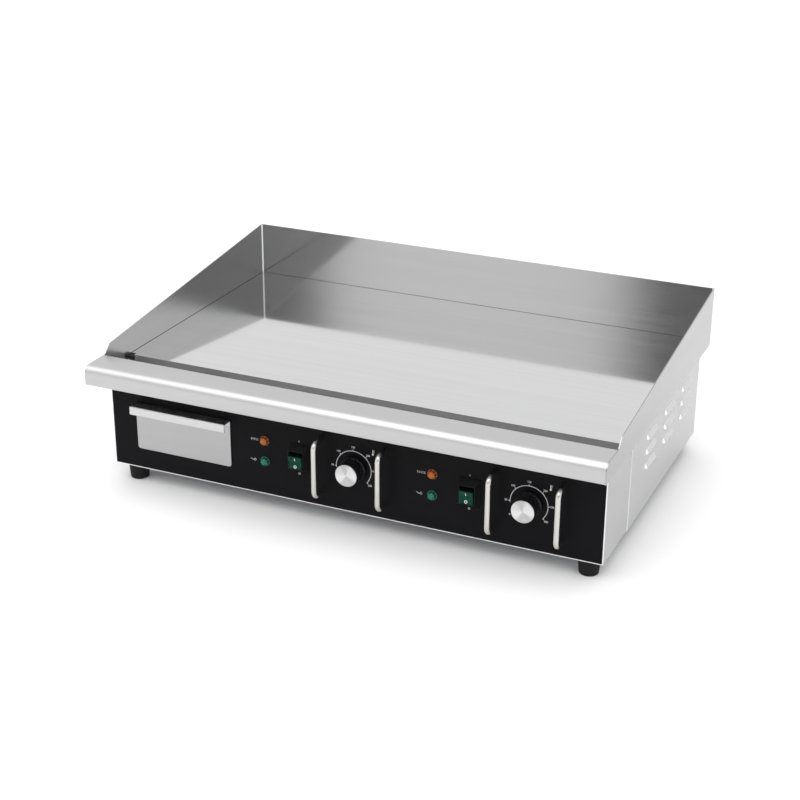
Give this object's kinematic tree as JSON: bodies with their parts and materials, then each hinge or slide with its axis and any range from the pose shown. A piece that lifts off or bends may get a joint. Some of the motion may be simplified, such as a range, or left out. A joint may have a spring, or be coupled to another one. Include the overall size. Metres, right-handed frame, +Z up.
{
  "type": "flat top griddle",
  "caption": "Countertop electric flat top griddle with splash walls, grease trough and drawer, knob guards, thermostat knobs and rocker switches.",
  "frame": {"origin": "centre of the footprint, on the surface the feet stand on", "axes": "+X to the right as seen by the cook, +Y to the back, +Z up"},
  "size_m": [0.73, 0.5, 0.245],
  "materials": {
    "plate": "mirror-bright ground surface with faint straight grain",
    "tray_steel": "brushed stainless sheet",
    "nose_steel": "fine satin stainless sheet, grain along the nose",
    "trough_steel": "brushed stainless sheet, darker from use",
    "case_steel": "fine satin stainless sheet",
    "drawer_steel": "brushed stainless sheet",
    "polished_rod": "polished stainless rod",
    "black_panel": "semi-gloss black printed sheet",
    "black_plastic": "moulded black plastic",
    "green_rocker": "tinted green moulding",
    "green_lens": "tinted green lens",
    "orange_lens": "tinted orange lens",
    "knob_phenolic": "black phenolic moulding",
    "spun_cap": "spun bright aluminium",
    "foot_rubber": "moulded black rubber",
    "zinc_steel": "zinc-plated sheet steel",
    "fasteners": "plain stainless fasteners",
    "element_sheath": "dark oxidised alloy sheath",
    "insulation": "pressed ceramic fibre board",
    "copper": "bare copper tube",
    "terminal_ceramic": "moulded ceramic",
    "wire_sleeve": "woven glass sleeve",
    "gland_plastic": "moulded polyamide",
    "brass_stud": "plain brass"
  },
  "bodies": {
    "chassis": {"griddle_plate": "plate", "plate_studs": "fasteners", "element_left": "element_sheath", "element_right": "element_sheath", "clamp_bars": "zinc_steel", "clamp_nuts": "fasteners", "insulation_pad": "insulation", "heat_shield": "zinc_steel", "splash_left": "tray_steel", "splash_right": "tray_steel", "splash_back": "tray_steel", "front_nose": "nose_steel", "oil_trough": "trough_steel", "drain_spout": "zinc_steel", "front_frame": "case_steel", "control_panel": "black_panel", "side_panel_left": "case_steel", "side_panel_right": "case_steel", "back_panel": "case_steel", "base_pan": "case_steel", "drawer_rail_left": "zinc_steel", "drawer_rail_right": "zinc_steel", "drawer_stop_bracket": "zinc_steel", "guard_bar_1": "polished_rod", "guard_bar_2": "polished_rod", "guard_bar_3": "polished_rod", "guard_bar_4": "polished_rod", "guard_bar_nuts": "fasteners", "lamp_heat_left": "orange_lens", "lamp_power_left": "green_lens", "lamp_heat_right": "orange_lens", "lamp_power_right": "green_lens", "lamp_bodies": "black_plastic", "switch_housing_left": "black_plastic", "switch_housing_right": "black_plastic", "thermostat_left": "zinc_steel", "thermostat_right": "zinc_steel", "capillary_left": "copper", "capillary_right": "copper", "terminal_block": "terminal_ceramic", "wiring_loom": "wire_sleeve", "cable_gland": "gland_plastic", "gland_nut": "gland_plastic", "equipotential_stud": "brass_stud", "foot_front_left": "foot_rubber", "foot_front_right": "foot_rubber", "foot_rear_left": "foot_rubber", "foot_rear_right": "foot_rubber", "foot_bolts": "fasteners", "case_screws": "fasteners"},
    "drawer": {"drawer_front": "drawer_steel", "drawer_box": "drawer_steel"},
    "knob_left_turn": {"knob_left": "knob_phenolic", "knob_cap_left": "spun_cap", "knob_spindle_left": "fasteners"},
    "knob_right_turn": {"knob_right": "knob_phenolic", "knob_cap_right": "spun_cap", "knob_spindle_right": "fasteners"},
    "switch_left": {"rocker_left": "green_rocker"},
    "switch_right": {"rocker_right": "green_rocker"}
  },
  "joints": [
    {"name": "drawer_slide", "type": "slide", "parent": "chassis", "child": "drawer", "axis": [0, -1, 0], "range_m": [0, 0.2]},
    {"name": "knob_left", "type": "hinge", "parent": "chassis", "child": "knob_left_turn", "pos_m": [0.014, -0.206, 0.09], "axis": [0, 1, 0], "range_deg": [0, 259]},
    {"name": "knob_right", "type": "hinge", "parent": "chassis", "child": "knob_right_turn", "pos_m": [0.2555, -0.206, 0.09], "axis": [0, 1, 0], "range_deg": [0, 259]},
    {"name": "rocker_left", "type": "hinge", "parent": "chassis", "child": "switch_left", "pos_m": [-0.0655, -0.208, 0.09], "axis": [-1, 0, 0], "range_deg": [0, 16]},
    {"name": "rocker_right", "type": "hinge", "parent": "chassis", "child": "switch_right", "pos_m": [0.176, -0.208, 0.09], "axis": [-1, 0, 0], "range_deg": [0, 16]}
  ]
}
